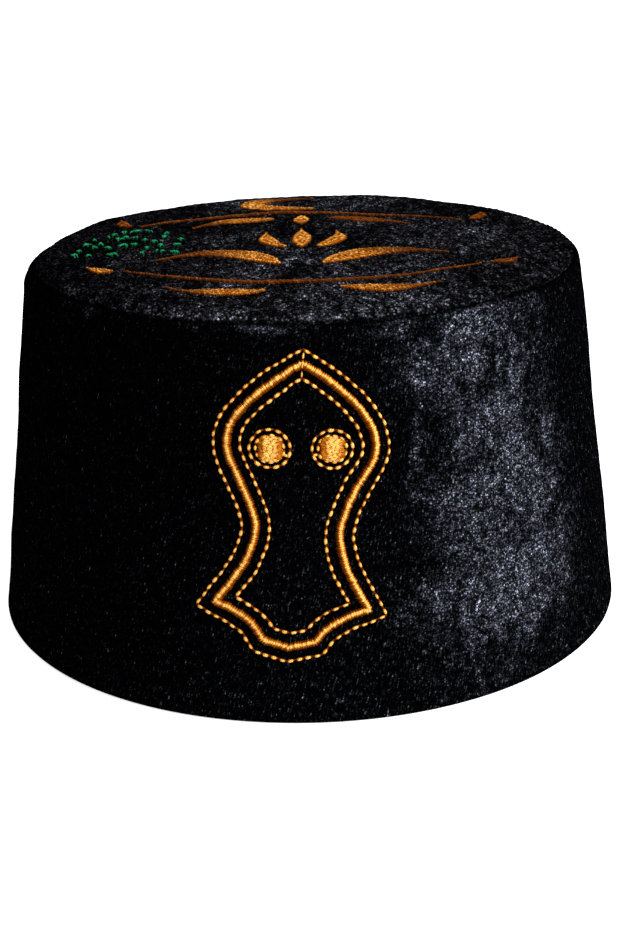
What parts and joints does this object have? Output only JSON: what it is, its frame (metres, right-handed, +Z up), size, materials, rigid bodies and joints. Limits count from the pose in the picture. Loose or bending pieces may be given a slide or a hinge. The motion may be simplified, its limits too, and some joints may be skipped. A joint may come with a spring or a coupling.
{
  "type": "tubeteika skullcap",
  "caption": "Stiff tapered velvet skullcap with a flat top, gold thread sandal motif on the front and leafy embroidery with a crescent on the crown.",
  "frame": {"origin": "centre of the rim, on the surface that the cap rests on", "axes": "+Z up out of the crown, -Y towards the front that carries the sandal motif, +X to the right as seen from the front"},
  "size_m": [0.1898, 0.1898, 0.1096],
  "materials": {
    "velvet": "black crushed velvet, short dense pile with scattered glints",
    "gold_thread": "shiny gold embroidery thread in satin stitch",
    "rust_thread": "dark rust embroidery thread",
    "green_thread": "emerald green embroidery thread in small knots",
    "sewing_thread": "matt black sewing thread"
  },
  "bodies": {
    "root": {"side_band": "velvet", "crown": "velvet", "sandal_outline": "gold_thread", "eyelet_left": "gold_thread", "eyelet_right": "gold_thread", "crescent": "gold_thread", "leaf_front_first": "gold_thread", "leaf_front_large": "gold_thread", "leaf_front_middle": "gold_thread", "leaf_front_small": "gold_thread", "leaf_back_left": "gold_thread", "leaf_back_middle": "gold_thread", "petal_left": "gold_thread", "petal_middle": "gold_thread", "petal_right": "gold_thread", "bud_left": "gold_thread", "branch_front": "rust_thread", "branch_back": "rust_thread", "leaf_back_right": "rust_thread", "bud_right": "rust_thread", "sprig_left": "rust_thread", "sprig_right": "rust_thread"}
  },
  "joints": []
}
